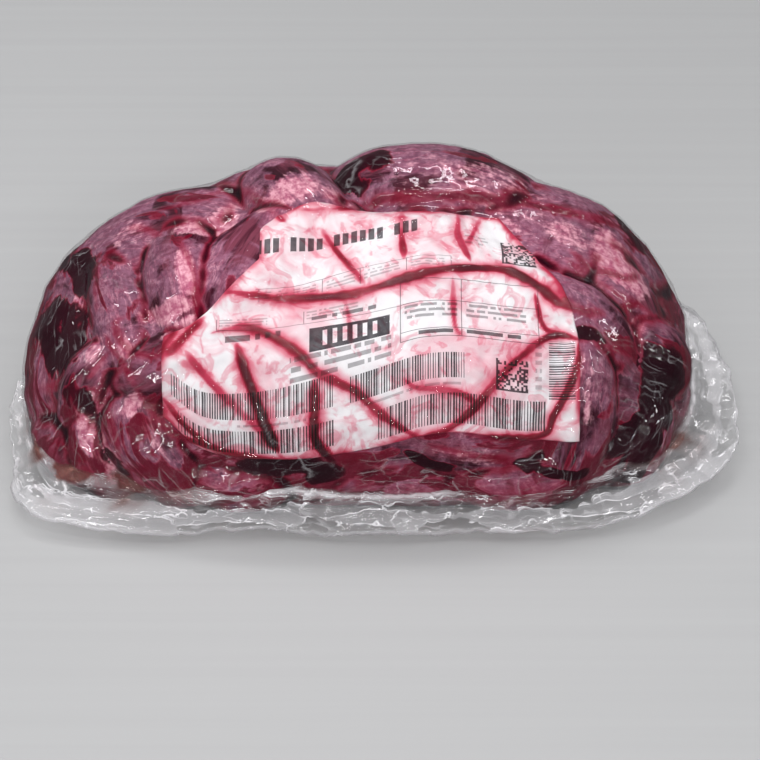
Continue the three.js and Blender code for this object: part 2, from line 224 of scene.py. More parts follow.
# Patches of fat and silver skin: bearing, rise, half length, half width, turn, strength.
FAT = [
    (-62, 37, 10, 4.5, 85, 1), (-58, 31, 10, 4, 20, 1), (-85, 47, 13, 6, 35, 0.9), (-79, 20, 7, 2.5, 70, 0.9),
    (-63, 17, 8, 4, 70, 0.8), (-54, 14, 7, 4, 60, 1), (-59, 23, 5, 4, 30, 0.9), (-53, 31, 6, 3, 20, 0.9),
    (-84, 68, 13, 9, 40, 0.9), (-85, 82, 10, 5, -30, 0.7), (103, 68, 18, 8, 10, 0.45),
    (95, 52, 22, 9, -15, 0.6), (82, 25, 15, 8, -35, 1), (84, 36, 10, 4, -25, 0.7), (81, 47, 8, 3, -25, 0.7),
    (55, 17, 5, 13, 5, 0.6), (58, 5, 4, 6, 0, 0.8), (70, 19, 7, 5, 50, 0.7), (-57, 8, 14, 3.5, -60, 0.9),
    (30, 11, 12, 4, 0, 0.6), (55, 24, 6, 5, 0, 0.6), (-87, 30, 8, 4, 20, 0.6), (-47, 65, 8, 5, 20, 0.7),
    (-150, 34, 20, 7, 10, 0.8), (160, 30, 24, 8, -8, 0.8), (-170, 12, 26, 6, 5, 0.7),
    (130, 22, 16, 6, 40, 0.8), (-48, 9.5, 9, 4, -45, 0.6), (-56, 4.5, 11, 1.5, -74, 1),
    (-54.5, 1, 9, 1.3, -78, 0.9),
]

# Pools of blood: bearing, rise, half length, half width, turn, fullness.
POOLS = [
    (-173, 80, 9, 6, 0, 1), (65.5, 9, 12, 12, 0, 1.4), (60, 4, 8, 10, 0, 1.3), (57.5, 0, 8, 6, 0, 1),
    (62, 24.5, 5, 4, 0, 1), (-20, 10, 11, 6, 0, 1.3), (-9.5, 7, 9, 6, 0, 1.3), (-47, 29, 3, 6, 0, 0.9),
    (-73, 14, 12, 22, 15, 1), (-60, 13, 4, 8, 0, 0.7), (46.5, 4, 12, 4, 0, 1.1), (20, 11, 10, 4, 0, 1.1),
    (21, 77, 9, 3, 0, 0.7), (-52, 4, 6, 8, 0, 0.6), (-90, 20, 8, 20, 10, 0.9), (96, 20, 8, 14, 0, 0.6),
    (-148, 22, 16, 7, 0, 0.8), (166, 16, 20, 7, 0, 0.8), (120, 34, 10, 8, 30, 0.8),
    (-115, 20, 12, 9, 50, 0.7), (105, 12, 8, 12, 0, 0.8), (180, 48, 16, 5, 0, 0.7), (-125, 5, 12, 8, 0, 0.7),
    (140, 6, 16, 8, 0, 0.7),
]


def unit(v):
    """Each vector divided by its length."""
    return v / np.maximum(np.linalg.norm(v, axis=-1, keepdims=True), 1e-12)


def heading(bearing, rise):
    """The unit direction at a bearing from the front, positive to the right, and a rise above the level."""
    b = np.radians(bearing)
    r = np.radians(rise)
    return np.stack([np.sin(b) * np.cos(r), -np.cos(b) * np.cos(r), np.sin(r) + 0 * b], -1)


def loaf_point(direction):
    """The loaf's point in a direction: a superellipse in plan, an ellipse in height."""
    x, y, z = np.moveaxis(direction, -1, 0)
    depth = np.where(y < 0, FRONT_DEPTH, BACK_DEPTH)
    square = np.where(y < 0, FRONT_SQUARE, BACK_SQUARE)
    tall = np.where(z > 0, RISE_UP, SAG_DOWN)
    plan = ((np.abs(x) / HALF_WIDTH) ** square + (np.abs(y) / depth) ** square) ** (1 / square)
    return MIDDLE + direction / np.hypot(plan, z / tall)[..., None]


def loaf_normal(point):
    """The loaf's outward normal at its own point: the gradient of the same formula."""
    x, y, z = np.moveaxis(point - MIDDLE, -1, 0)
    depth = np.where(y < 0, FRONT_DEPTH, BACK_DEPTH)
    square = np.where(y < 0, FRONT_SQUARE, BACK_SQUARE)
    tall = np.where(z > 0, RISE_UP, SAG_DOWN)
    wide = np.abs(x) / HALF_WIDTH
    deep = np.abs(y) / depth
    factor = (wide ** square + deep ** square + 1e-12) ** (2 / square - 1)
    along_x = factor * wide ** (square - 1) * np.sign(x) / HALF_WIDTH
    along_y = factor * deep ** (square - 1) * np.sign(y) / depth
    return unit(np.stack([along_x, along_y, z / tall ** 2], -1))


def smooth_max(a, b, width):
    """The larger of two heights, rounded where they meet over a band of that width."""
    share = np.maximum(width - np.abs(a - b), 0) / width
    return np.maximum(a, b) + share * share * width / 4


def wander(p):
    """Slow waves that bend the folds' outlines: sums of two sines for each axis."""
    x, y, z = np.moveaxis(p, -1, 0)
    return np.stack([
        2.2 * np.sin(x / 13 + y / 19 + 0.6) + 1.2 * np.sin(z / 7.5 - x / 17),
        2.2 * np.sin(y / 12 - z / 15 + 1.9) + 1.2 * np.sin(x / 8.1 + z / 11),
        2.0 * np.sin(x / 15 + z / 13 + 3.1) + 1.1 * np.sin(y / 7.1 + x / 19),
    ], -1)


def placed(bearing, rise, turn):
    """A place on the loaf: its point, directions along and across at a turn from the level, and normal."""
    centre = loaf_point(heading(bearing, rise))
    normal = loaf_normal(centre)
    level = unit(np.array([1.0, 0, 0]) - normal * normal[0])
    uphill = np.cross(normal, level)
    c = math.cos(math.radians(turn))
    s = math.sin(math.radians(turn))
    return centre, level * c + uphill * s, uphill * c - level * s, normal


def fold_domes(point):
    """The height of every fold over a point: a half-ellipsoid, proud times the root of 1 - d squared."""
    bent = point + wander(point)
    domes = []
    for bearing, rise, long, wide, turn, proud in FOLDS.values():
        centre, along, across, normal = placed(bearing, rise, turn)
        q = bent - centre
        far = (q @ along / long) ** 2 + (q @ across / wide) ** 2 + (q @ normal / max(long, wide)) ** 2
        domes.append(proud * np.maximum(1 - far, 0) ** 0.5)
    return np.stack(domes)


def blended(domes, bridge):
    """All folds joined by the smooth maximum, in order, over the valley floor, then lifted by a share of
    h / lifted times e to the power of 1 - h / lifted, which leaves the tops of the folds where they are."""
    height = np.full(domes.shape[1:], VALLEY_FLOOR)
    for dome in domes:
        height = smooth_max(height, dome, bridge)
    share = height / VALLEY_LIFTED
    return height + VALLEY_LIFT * share * np.exp(1 - share)


def film_place(direction):
    """The film's bare surface in a direction: the loaf's point pushed out by the folds' joined height."""
    base = loaf_point(direction)
    return base + loaf_normal(base) * blended(fold_domes(base), FILM_BRIDGE)[..., None]


def triangle(phase):
    """A triangle wave of period 1 between -1 and 1."""
    return 1 - 4 * np.abs(phase - np.floor(phase) - 0.5)


def crumple(p, size, seed, layers=5):
    """Crushed film: triangle waves across random directions, each bent by another, the finer the lower."""
    draw = np.random.default_rng(seed)
    total = np.zeros(p.shape[:-1])
    for layer in range(layers):
        wave = size * 0.72 ** layer
        turn = unit(draw.normal(size=3))
        side = unit(draw.normal(size=3))
        start, other = draw.uniform(size=2)
        bend = 0.3 * triangle(p @ side / (1.7 * wave) + other)
        total += 0.8 ** layer * triangle(p @ turn / wave + start + bend)
    return total / 2.2


def ripple(p, size, seed, layers=6):
    """Soft uneven relief: sines across random directions, the finer the lower."""
    draw = np.random.default_rng(seed)
    total = np.zeros(p.shape[:-1])
    for layer in range(layers):
        wave = size * 0.75 ** layer
        turn = unit(draw.normal(size=3))
        total += 0.8 ** layer * np.sin(2 * np.pi * p @ turn / wave + draw.uniform(0, 6.28))
    return total / 2.2


def pleats(p, size, seed, layers=4):
    """Thin raised wrinkles: the tops of triangle waves to the fifth power, each bent by another wave."""
    draw = np.random.default_rng(seed)
    total = np.zeros(p.shape[:-1])
    for layer in range(layers):
        wave = size * 0.8 ** layer
        turn = unit(draw.normal(size=3))
        side = unit(draw.normal(size=3))
        bend = 0.5 * np.sin(2 * np.pi * p @ side / (2.3 * wave) + draw.uniform(0, 6.28))
        crest = np.clip(triangle(p @ turn / wave + draw.uniform() + bend), 0, 1)
        total = np.maximum(total, crest ** 5)
    return total


def eased(low, high, value):
    """0 below low, 1 above high, with a smooth step between."""
    share = np.clip((value - low) / (high - low), 0, 1)
    return share * share * (3 - 2 * share)


def smooth_path(points, steps=6):
    """A Catmull-Rom curve through the points, as closely spaced points."""
    ends = np.concatenate([2 * points[:1] - points[1:2], points, 2 * points[-1:] - points[-2:-1]])
    a, b, c, d = ends[:-3, None], ends[1:-2, None], ends[2:-1, None], ends[3:, None]
    t = (np.arange(steps) / steps)[None, :, None]
    curve = 2 * b + (c - a) * t + (2 * a - 5 * b + 4 * c - d) * t ** 2 + (3 * b - a - 3 * c + d) * t ** 3
    return np.concatenate([0.5 * curve.reshape(-1, 3), points[-1:]])


CREASE_PATHS = {
    name: smooth_path(film_place(heading(*np.reshape(places, (-1, 2)).T)))
    for name, (_, _, *places) in CREASES.items()
}


def facets(base):
    """How far the drawn film's large flat facets stand off it."""
    return FACET * crumple(base, FACET_SIZE, 3, 2)


def sinew(point):
    """How far the meat's fine unevenness lifts film and label."""
    return SINEW * ripple(point, SINEW_SIZE, 21)


# How many half widths round its path a crease reaches, how blunt its ends are and how fast they taper.
CREASE_REACH = 2.6
CREASE_BLUNT = 0.25
CREASE_TAPER = 5.5


def crease_fields(point):
    """How high the film stands in its creases at each point, and how deep the blood is in them. Over the
    nearest distance d to a crease's path of half width w, the film is height times (1 - d / w) to the power
    of 1.5. The blood has that core, the deeper the higher the crease, and a thin soft halo. Width and blood
    are uneven along the crease, and it runs to a point at its ends."""
    film = np.zeros(len(point))
    blood = np.zeros(len(point))
    uneven = 1 + 0.28 * ripple(point, 21, 5, 3) + 0.14 * ripple(point, 5, 6, 3)
    fill = np.clip(0.85 + 0.7 * ripple(point, 19, 7, 3), 0.3, 1.6)
    for name, (height, width, *_) in CREASES.items():
        path = CREASE_PATHS[name]
        reach = CREASE_REACH * width
        near = np.flatnonzero(((point > path.min(0) - reach) & (point < path.max(0) + reach)).all(-1))
        if len(near) == 0:
            continue
        p = point[near]
        best = np.full(len(near), 1e9)
        place = np.zeros(len(near))
        for i in range(len(path) - 1):
            step = path[i + 1] - path[i]
            share = np.clip((p - path[i]) @ step / (step @ step), 0, 1)
            d = np.linalg.norm(p - path[i] - share[:, None] * step, axis=-1)
            closer = d < best
            place = np.where(closer, (i + share) / (len(path) - 1), place)
            best = np.minimum(best, d)
        taper = np.clip(CREASE_BLUNT + CREASE_TAPER * np.minimum(place, 1 - place), 0, 1)
        best = best * uneven[near] / taper ** 0.6
        core = np.clip(1 - best / width, 0, 1)
        film[near] = np.maximum(film[near], height * taper * core ** 1.5)
        halo = 0.1 * height * np.exp(-((best / (0.6 * width + 1.0)) ** 2))
        deepest = 0.1 + 0.13 * height ** 2 + 0.02 * height ** 4
        filled = deepest * eased(0.3, 0.62, core) * (0.75 + 0.35 * core)
        blood[near] = np.maximum(blood[near], taper * (filled * fill[near] + halo))
    return film, blood


def patch_field(point, patches, soft):
    """The strongest of the soft elliptical patches at each point: strength times a smooth step of d."""
    total = np.zeros(len(point))
    for bearing, rise, long, wide, turn, strength in patches:
        _, along, across, _ = placed(bearing, rise, turn)
        q = point - film_place(heading(bearing, rise))
        far = np.sqrt((q @ along / long) ** 2 + (q @ across / wide) ** 2)
        near = np.linalg.norm(q, axis=-1) < 2.2 * max(long, wide)
        total = np.maximum(total, np.where(near, strength * eased(1 + soft, 1 - soft, far), 0))
    return total


def place_in_scene(name, data):
    """A new object in the scene, for a mesh, a light or a camera."""
    made = bpy.data.objects.new(name, data)
    bpy.context.scene.collection.objects.link(made)
    return made


def add_piece(name, point, faces, finish, node, fields, layout):
    """A smooth mesh from points in the own millimetres, its faces, number fields on its points, and a
    layout of one (u, v) for each corner. It rides on the root body and stands for the CAD node."""
    mesh = bpy.data.meshes.new(name)
    mesh.from_pydata(((point + SHIFT) * MM).tolist(), [], faces)
    mesh.polygons.foreach_set("use_smooth", np.ones(len(mesh.polygons), bool))
    for field, values in fields.items():
        made = mesh.attributes.new(field, "FLOAT", "POINT")
        made.data.foreach_set("value", np.asarray(values, np.float32))
    mesh.uv_layers.new(name="layout").data.foreach_set("uv", np.asarray(layout, np.float32).ravel())
    mesh.materials.append(finish)
    mesh.update()
    piece = place_in_scene(name, mesh)
    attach(piece, "root")
    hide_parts(node)


# Squares along the loaf's three directions, how much denser they are in front, and where the lowest lie.
DOME_X = 250
DOME_Y = 104
DOME_Z = 94
DOME_FRONT = 0.2
DOME_LOW = -0.4


def dome():
    """The directions of a box's four sides and lid, blown out evenly, its quads, and the open ring below as
    one face. Whole-number places on the box are the keys that join the sides."""
    def key(i, j, k):
        return (i * (DOME_Y + 1) + j) * (DOME_Z + 1) + k

    ii, jj, kk = np.arange(DOME_X + 1), np.arange(DOME_Y + 1), np.arange(DOME_Z + 1)
    sides = [
        (key(ii[:, None], 0, kk[None]), False),
        (key(ii[:, None], DOME_Y, kk[None]), True),
        (key(DOME_X, jj[:, None], kk[None]), False),
        (key(0, jj[:, None], kk[None]), True),
        (key(ii[:, None], jj[None], DOME_Z), False),
    ]
    quads = []
    for side, turned in sides:
        corners = [side[:-1, :-1], side[1:, :-1], side[1:, 1:], side[:-1, 1:]]
        corners = corners[::-1] if turned else corners
        quads.append(np.stack(corners, -1).reshape(-1, 4))
    quads = np.concatenate(quads)
    keys, quads = np.unique(quads, return_inverse=True)
    quads = quads.reshape(-1, 4)
    loop = np.concatenate([key(0, jj[:-1], 0), key(ii[:-1], DOME_Y, 0), key(DOME_X, jj[:0:-1], 0),
                           key(ii[:0:-1], 0, 0)])
    ring = np.searchsorted(keys, loop)
    x = 2 * (keys // ((DOME_Y + 1) * (DOME_Z + 1))) / DOME_X - 1
    y = 2 * (keys // (DOME_Z + 1) % (DOME_Y + 1)) / DOME_Y - 1
    z = DOME_LOW + (1 - DOME_LOW) * (keys % (DOME_Z + 1)) / DOME_Z
    y = y - DOME_FRONT * (1 - y * y)
    box = np.tan(np.stack([x, y, z], -1) * np.pi / 4) * [HALF_WIDTH, FRONT_DEPTH, RISE_UP]
    return unit(box), quads, ring


def operator(operation, swapped=False):
    """A method that adds one Math node. Where it is swapped, the plain number stands on the left."""
    def method(self, other):
        values = (other, self) if swapped else (self, other)
        return self.math(operation, *values)

    return method


class Number:
    """A number that changes over a surface. Arithmetic on it adds Math nodes."""

    def __init__(self, finish, socket):
        self.finish = finish
        self.socket = socket

    def math(self, operation, *values, **settings):
        made = self.finish.node("ShaderNodeMath", dict(enumerate(values)), operation=operation, **settings)
        return Number(self.finish, made.outputs[0])

    __add__ = operator("ADD")
    __radd__ = operator("ADD", swapped=True)
    __sub__ = operator("SUBTRACT")
    __rsub__ = operator("SUBTRACT", swapped=True)
    __mul__ = operator("MULTIPLY")
    __rmul__ = operator("MULTIPLY", swapped=True)
    __truediv__ = operator("DIVIDE")
    __rpow__ = operator("POWER", swapped=True)
    __gt__ = operator("GREATER_THAN")
    __lt__ = operator("LESS_THAN")
    most = operator("MAXIMUM")
    least = operator("MINIMUM")

    def __floordiv__(self, other):
        return self.math("FLOOR", self / other)

    def __abs__(self):
        return self.math("ABSOLUTE", self)

    def clamp(self):
        return self.math("ADD", self, 0, use_clamp=True)

    def step(self, low, high):
        """0 below low, 1 above high, smooth between."""
        sockets = {0: self, 1: low, 2: high}
        made = self.finish.node("ShaderNodeMapRange", sockets, interpolation_type="SMOOTHSTEP")
        return Number(self.finish, made.outputs[0])


def linear(*shades):
    """An sRGB colour in 0 to 255 as the linear colour that a socket takes."""
    share = np.array(shades) / 255
    return (*np.where(share < 0.04045, share / 12.92, ((share + 0.055) / 1.055) ** 2.4), 1.0)


class Finish:
    """A material and its nodes."""

    def __init__(self, name):
        self.material = bpy.data.materials.new(name)
        self.material.use_nodes = True
        self.tree = self.material.node_tree
        self.tree.nodes.clear()

    def node(self, kind, sockets=None, stops=None, **settings):
        """Any node: its settings and stops first, then its sockets' values or links."""
        made = self.tree.nodes.new(kind)
        for name, setting in settings.items():
            setattr(made, name, setting)
        for i, (place, *shade) in enumerate(stops or []):
            ends = made.color_ramp.elements
            stop = ends[i] if i < 2 else ends.new(place)
            stop.position = place
            stop.color = linear(*shade)
        for name, value in (sockets or {}).items():
            if isinstance(value, (Number, bpy.types.NodeSocket)):
                self.tree.links.new(getattr(value, "socket", value), made.inputs[name])
            else:
                made.inputs[name].default_value = value
        return made

    def number(self, made, output=0):
        return Number(self, made.outputs[output])

    def field(self, name):
        return self.number(self.node("ShaderNodeAttribute", attribute_name=name), "Fac")

    def place(self, stretch=(1.0, 1.0, 1.0)):
        """Object coordinates in millimetres, divided by a stretch."""
        where = self.node("ShaderNodeTexCoord").outputs["Object"]
        scale = tuple(1 / (MM * s) for s in stretch)
        return self.node("ShaderNodeVectorMath", {0: where, 1: scale}, operation="MULTIPLY").outputs[0]

    def layout(self):
        """The piece's own (u, v) as two numbers."""
        made = self.node("ShaderNodeUVMap", uv_map="layout")
        split = self.node("ShaderNodeSeparateXYZ", {0: made.outputs[0]})
        return self.number(split, 0), self.number(split, 1)

    def vector(self, *parts):
        return self.node("ShaderNodeCombineXYZ", dict(enumerate(parts))).outputs[0]

    def noise(self, where, size=1.0, detail=3.0, rough=0.55, twist=0.0):
        octaves = {"Detail": detail, "Roughness": rough, "Distortion": twist}
        made = self.node("ShaderNodeTexNoise", {"Vector": where, "Scale": 1 / size, **octaves})
        return self.number(made)

    def cells(self, where, size, feature, output=0):
        sockets = {"Vector": where, "Scale": 1 / size}
        made = self.node("ShaderNodeTexVoronoi", sockets, feature=feature, voronoi_dimensions="2D")
        return self.number(made, output)

    def mix(self, share, a, b, blend="MIX"):
        made = self.node("ShaderNodeMix", {0: share, 6: a, 7: b}, data_type="RGBA", blend_type=blend)
        return made.outputs[2]

    def ramp(self, share, stops):
        return self.node("ShaderNodeValToRGB", {0: share}, stops=stops).outputs[0]

    def bump(self, height, strength, distance):
        """A normal tilted by a height that stands for a distance in millimetres."""
        sockets = {"Height": height, "Strength": strength, "Distance": distance * MM}
        return self.node("ShaderNodeBump", sockets).outputs[0]

    def close(self, shader):
        self.node("ShaderNodeOutputMaterial", {"Surface": shader})
        return self.material


# Blood by its depth under the film, from a pink stain to black.
BLOOD_STOPS = [
    (0, 255, 255, 255), (1, 12, 0, 5), (0.06, 248, 212, 218), (0.14, 238, 150, 166), (0.26, 205, 62, 92),
    (0.44, 150, 8, 42), (0.62, 98, 2, 28), (0.8, 52, 0, 18), (0.92, 22, 0, 9),
]

# The same over beef, which is red already: from crimson to black.
BEEF_BLOOD_STOPS = [
    (0, 158, 34, 64), (1, 10, 0, 4), (0.25, 138, 14, 46), (0.45, 112, 3, 32), (0.62, 78, 1, 22),
    (0.8, 40, 0, 13), (0.92, 18, 0, 7),
]

# Flesh, the fibres' lines, silver skin and fat, each from dark to pale, then paper, print and film. The
# silver skin's colours also paint a lavender sheen, a painted highlight, on the upper folds.
FLESH = linear(50, 8, 24), linear(106, 50, 66)
FIBRE = linear(34, 2, 14), linear(158, 98, 126)
SILVER_SKIN_AND_SHEEN = linear(110, 64, 86), linear(154, 104, 128)
FAT_COLOUR = linear(168, 88, 114), linear(222, 166, 178)
PAPER = linear(214, 211, 213), linear(196, 193, 197)
INK = linear(34, 30, 38)
FILM = linear(246, 244, 248)
DRIED_BLOOD = linear(128, 86, 80)
FLOOR = linear(155, 155, 156), linear(161, 161, 162)

# Beef fades under blood by this base to the power of minus the rate times the depth.
FADE_BASE = 2.718
FADE_RATE = 3.4


def blood_colour(finish, depth, stops):
    """The colour of blood of that depth in millimetres: the stops over depth / (depth + 0.5)."""
    return finish.ramp(depth / (depth + 0.5), stops)


def beef_finish():
    """Dark muscle in fibres along each fold, under lavender silver skin and fat; on the upper folds the
    silver skin is spread wider as a painted sheen of the light on their tops. Blood lies over it wherever the
    film doesn't touch it: in the creases and valleys, in ragged pools, and in sharp-edged seeps between the
    places that it touches, more of them low down."""
    f = Finish("beef")
    u, v = f.layout()

    def fibres(long, wide, layer, **settings):
        """Noise in cells so long and wide along the fibres. Each layer is another pattern."""
        return f.noise(f.vector(u / long, v / wide, layer), **settings)

    grain = fibres(12, 1.5, 0.0, detail=4.0, rough=0.62, twist=0.5)
    band = fibres(30, 6, 3.0, detail=4.0, rough=0.6, twist=0.8)
    vein = fibres(10, 3.4, 7.0, detail=4.0, rough=0.6, twist=1.2)
    pooled = fibres(24, 9, 11.0, detail=4.0, rough=0.5, twist=1.0)
    blotch = f.noise(f.place(), 19.0, detail=5.0, rough=0.6, twist=0.6)
    fine = f.noise(f.place(), 2.4, rough=0.65)
    low = f.field("low")
    pool = f.field("pool")
    patch = f.field("fat")

    flesh = f.mix(band.step(0.4, 0.6), *FLESH)
    flesh = f.mix(grain.step(0.5, 0.34) * 0.65, flesh, FIBRE[0])
    flesh = f.mix(grain.step(0.56, 0.74) * 0.35, flesh, FIBRE[1])
    skin = blotch.step(0.46, 0.56) * (0.45 + 0.55 * band.step(0.35, 0.6))
    # Silver skin also spreads low down, and high up, where it stands in part for the lavender sheen of light
    # on the fold tops: a painted highlight.
    skin = skin.most((low * 0.8).most(1 - 2 * low) * blotch.step(0.4, 0.5))
    flesh = f.mix(skin * 0.66, flesh, f.mix(fine.step(0.3, 0.7), *SILVER_SKIN_AND_SHEEN))
    web = (1 - abs(vein - 0.5) * 20).clamp() * blotch.step(0.4, 0.6)
    streaky = (patch + (fine - 0.5) * 0.9 + (grain - 0.5) * 1.3).step(0.42, 0.95) * patch.step(0.02, 0.3)
    pale = (web * 0.5 + streaky).clamp()
    flesh = f.mix(pale * 0.8, flesh, f.mix(fine.step(0.35, 0.65) * grain.step(0.3, 0.55), *FAT_COLOUR))

    seep = (pooled + 0.14 * low - patch * 0.12 - 0.6).step(0.0, 0.05)
    ragged = pool + (pooled - 0.5) * 2.2 + (blotch - 0.5) * 1.6
    depth = f.field("blood").most(0.0).most(seep * (0.35 + 0.6 * blotch))
    depth = depth.most(ragged.step(0.46, 0.72) * pool.step(0.0, 0.15) * (0.7 + 2.0 * pool))
    cover = (1 - FADE_BASE ** (depth * -FADE_RATE)).clamp()
    body = f.node("ShaderNodeBsdfPrincipled", {
        "Base Color": f.mix(cover, flesh, blood_colour(f, depth, BEEF_BLOOD_STOPS)),
        "Roughness": 0.5 - cover * 0.2,
        "Specular IOR Level": 0.05,
        "Normal": f.bump(grain * 0.4 + fine * 0.5, 0.5, 0.5),
    })
    return f.close(body.outputs[0])


# The label's print, in millimetres from the label's middle and its low edge: fields of bars, with their
# pitch and seed, the one field whose bars lie level, and the squares of random dots.
BARS = [
    (-62, -8, 20.4, 31.5, 0.85, 11), (-60, -8, 5.4, 15.5, 0.95, 40), (-2.7, 35.4, 20, 29.3, 0.85, 71),
    (6.7, 62.4, 3.4, 14.5, 0.95, 102),
]
LEVEL_BARS = (63.5, 72.5, 15.2, 37, 0.9, 7)
DOT_SQUARES = [(45.6, 56.4, 17.3, 28.8), (48.5, 60.5, 69.4, 83.4)]
DOT = 0.72
DOT_EDGE = 0.7

# The dark field with its pale blocks: left, right, low, high, then the first block, their pitch and width,
# their low and high, and how many.
DARK_FIELD = (-16, 10.5, 39.8, 47.2)
PALE_BLOCKS = (-11.6, 3.3, 1.5, 41.2, 45.9, 6)

# Thin ruled lines: left, right, low, high.
RULES = [
    (13.9, 60.3, 35.5, 35.8), (13.9, 60.3, 38.8, 39.1), (13.9, 60.3, 49.8, 50.1), (13.9, 60.3, 59.1, 59.4),
    (13.9, 14.2, 35.5, 59.4), (34.2, 34.5, 35.5, 59.4), (60, 60.3, 35.5, 59.4), (-47, 14, 49.7, 49.95),
    (-34, 31, 70.3, 70.55), (-33, -32.75, 64, 70.5), (-12, -11.75, 64, 70.5), (0.6, 0.85, 64, 70.5),
    (16, 16.25, 64, 70.5), (31, 31.25, 64, 70.5), (-47, -46.75, 50, 56), (-18, -17.75, 50, 56),
]
RULE_TONE = 0.75

# Blocks in place of words: left, right, low, pitch of the rows, how many, length of a block, tone.
WORD_ROWS = [
    (-22.4, 11, 31.2, 2.9, 3, 1.1, 0.6), (15.4, 33, 43.2, 2.1, 3, 0.9, 0.6), (36, 56, 43.2, 2.1, 3, 0.9, 0.6),
    (20, 31.5, 36, 2.9, 1, 1.6, 0.9), (36, 54, 36, 2.9, 1, 1.6, 0.9), (-46, -30, 51.5, 1.5, 3, 0.8, 0.4),
    (-17, 0, 51.5, 1.5, 3, 0.8, 0.4), (-44, -24, 45.4, 3.4, 1, 1.7, 0.8), (-16, 6, 50.2, 3.2, 1, 1.7, 0.8),
    (-31, -14, 65, 1.4, 3, 0.8, 0.4), (-10.5, -1, 65, 1.4, 3, 0.8, 0.4), (2, 14, 65, 1.4, 3, 0.8, 0.4),
    (17.5, 29, 65, 1.4, 3, 0.8, 0.4), (36, 44, 77.5, 2.2, 3, 0.9, 0.4), (-40, -12, 16.8, 1.9, 1, 1, 0.4),
    (2, 34, 16.8, 1.9, 1, 1, 0.4), (58.8, 61, 18, 3, 6, 0.9, 0.4),
]

# The heading: its words' left and right, its low and high, and a letter block's pitch and sides.
HEADING = [(-43.5, -26.1), (-23.2, -11.6), (-8.7, 8.7), (11.6, 20.3)]
HEADING_LOW = 84.5
HEADING_HIGH = 90.5
LETTER = (2.9, 0.5, 2.5)
HEADING_TONE = 0.95


def box_mask(u, v, left, right, low, high):
    """1 inside a rectangle of the label, 0 outside."""
    return (u > left) * (u < right) * (v > low) * (v < high)


def bars(f, along, seed, pitch):
    """Stripes, one in every pitch, each as wide as a seeded draw says."""
    step = along // pitch
    made = f.node("ShaderNodeTexWhiteNoise", {"W": step + seed}, noise_dimensions="1D")
    return along / pitch - step < f.number(made) * 0.6 + 0.22


def speckle(f, u, v, seed, size):
    """Random dark squares on a square grid."""
    where = f.vector(u // size, v // size, seed)
    return f.number(f.node("ShaderNodeTexWhiteNoise", {"Vector": where}, noise_dimensions="3D")) > 0.5


def words(f, u, v, row, seed):
    """Rows of small grey blocks in place of words: each row a bar, broken where a seeded draw says."""
    left, right, low, pitch, count, letter, tone = row
    line = (v - low) // pitch
    inside = v - low - line * pitch
    draw = f.node("ShaderNodeTexWhiteNoise", {"Vector": f.vector(u // letter, line, seed)})
    field = box_mask(u, v, left, right, low, low + count * pitch) * (f.number(draw) > 0.22)
    return field * (inside > pitch * 0.3) * (inside < pitch * 0.82) * tone


def label_print(f, u, v):
    """How much ink lies on the label: every bar, dot, block and line above, the darkest where they meet."""
    inks = [box_mask(u, v, *box) * bars(f, u, seed, pitch) for *box, pitch, seed in BARS]
    *box, pitch, seed = LEVEL_BARS
    inks.append(box_mask(u, v, *box) * bars(f, v, seed, pitch))
    for seed, (left, right, low, high) in enumerate(DOT_SQUARES):
        inks.append(box_mask(u, v, left, right, low, high) * speckle(f, u, v, seed, DOT))
        inks.append(box_mask(u, v, left, left + DOT_EDGE, low, high))
        inks.append(box_mask(u, v, left, right, low, low + DOT_EDGE))
    dark = box_mask(u, v, *DARK_FIELD)
    first, pitch, wide, low, high, count = PALE_BLOCKS
    for x in first + pitch * np.arange(count):
        dark = dark * (1 - box_mask(u, v, x, x + wide, low, high))
    inks.append(dark)
    inks += [box_mask(u, v, *rule) * RULE_TONE for rule in RULES]
    inks += [words(f, u, v, row, seed) for seed, row in enumerate(WORD_ROWS)]
    pitch, start, end = LETTER
    inside = u - u // pitch * pitch
    for left, right in HEADING:
        word = box_mask(u, v, left, right, HEADING_LOW, HEADING_HIGH)
        inks.append(word * (inside > start) * (inside < end) * HEADING_TONE)
    ink = inks[0]
    for other in inks[1:]:
        ink = ink.most(other)
    return ink


def label_finish():
    """White paper with grey print, dark bars and boxes, stained pink and red by the blood over it."""
    f = Finish("label paper")
    u, v = f.layout()
    fade = f.noise(f.place(), 3.0)
    printed = f.mix(label_print(f, u, v) * (0.82 + fade * 0.2), f.mix(fade, *PAPER), INK)
    cloud = f.noise(f.place(), 15.0, detail=4.0, rough=0.6, twist=1.2)
    vein = f.noise(f.place(), 11.0, rough=0.5, twist=2.2)
    wash = f.noise(f.place(), 26.0, detail=4.0, twist=0.8)
    smear = cloud.step(0.5, 0.78) * 0.05 + vein.step(0.52, 0.62) * vein.step(0.76, 0.64) * 0.04
    smear = smear + wash.step(0.42, 0.68) * 0.045
    depth = f.field("blood").most(0.0) + smear
    body = f.node("ShaderNodeBsdfPrincipled", {
        "Base Color": f.mix(1.0, printed, blood_colour(f, depth, BLOOD_STOPS), "MULTIPLY"),
        "Roughness": 0.5,
        "Specular IOR Level": 0.2,
        "Normal": f.bump(fade, 0.2, 0.2),
    })
    return f.close(body.outputs[0])


# The film mirrors by Fresnel with this index, up to the cap. Its small cells are this much of the large.
FILM_INDEX = 1.42
FILM_CAP = 0.16
SMALL_CELL = 0.42


